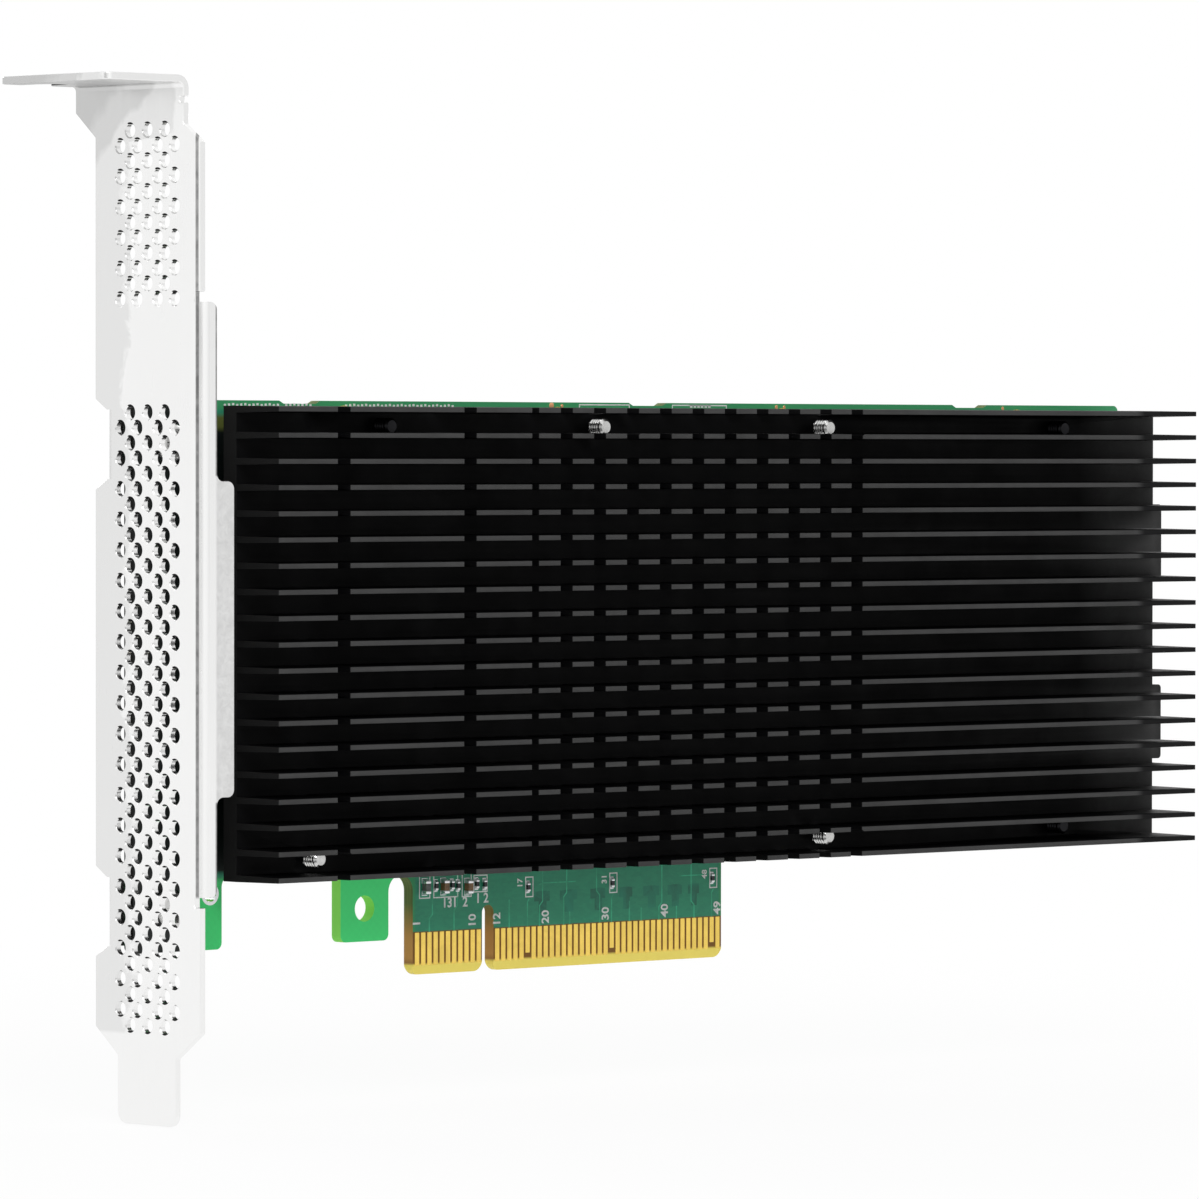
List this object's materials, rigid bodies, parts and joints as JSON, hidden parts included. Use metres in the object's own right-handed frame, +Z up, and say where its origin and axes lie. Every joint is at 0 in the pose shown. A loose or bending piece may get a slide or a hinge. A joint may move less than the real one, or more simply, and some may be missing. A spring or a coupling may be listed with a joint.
{
  "type": "nvme adapter card",
  "caption": "Low-profile expansion card on a full-height vented bracket, with a finned heat sink over sockets for solid-state drives.",
  "frame": {"origin": "card-edge datum: middle of the key notch on the contact edge, half way through the board", "axes": "+X away from the bracket along the board, +Z up from the contact edge, components face -Y"},
  "size_m": [0.1813, 0.022, 0.12],
  "materials": {
    "plated_steel": "bright nickel-plated sheet steel",
    "green_mask": "green solder mask over glass-epoxy laminate",
    "contact_gold": "hard gold over nickel, satin",
    "black_anodised": "black anodised extrusion with brighter fin tips",
    "screw_steel": "nickel-plated machine screws",
    "post_brass": "nickel-washed brass",
    "socket_black": "black moulded housing",
    "pad_grey": "soft grey gap-filler",
    "inductor_grey": "pressed iron powder",
    "chip_black": "moulded epoxy",
    "capacitor_tan": "ceramic body",
    "polymer_black": "moulded case",
    "resistor_black": "glazed chip"
  },
  "bodies": {
    "root": {"bracket": "plated_steel", "circuit_board": "green_mask", "front_contacts": "contact_gold", "back_contacts": "contact_gold", "heat_sink": "black_anodised", "heat_sink_screws": "screw_steel", "heat_sink_spacers": "post_brass", "bracket_screws": "screw_steel", "upper_drive_socket": "socket_black", "lower_drive_socket": "socket_black", "upper_thermal_pad": "pad_grey", "lower_thermal_pad": "pad_grey", "drive_posts": "post_brass", "drive_screws": "screw_steel", "power_inductors": "inductor_grey", "voltage_regulators": "chip_black", "bulk_capacitors": "polymer_black", "clock_buffer": "chip_black", "memory_chip": "chip_black", "ceramic_capacitors": "capacitor_tan", "resistors": "resistor_black"}
  },
  "joints": []
}
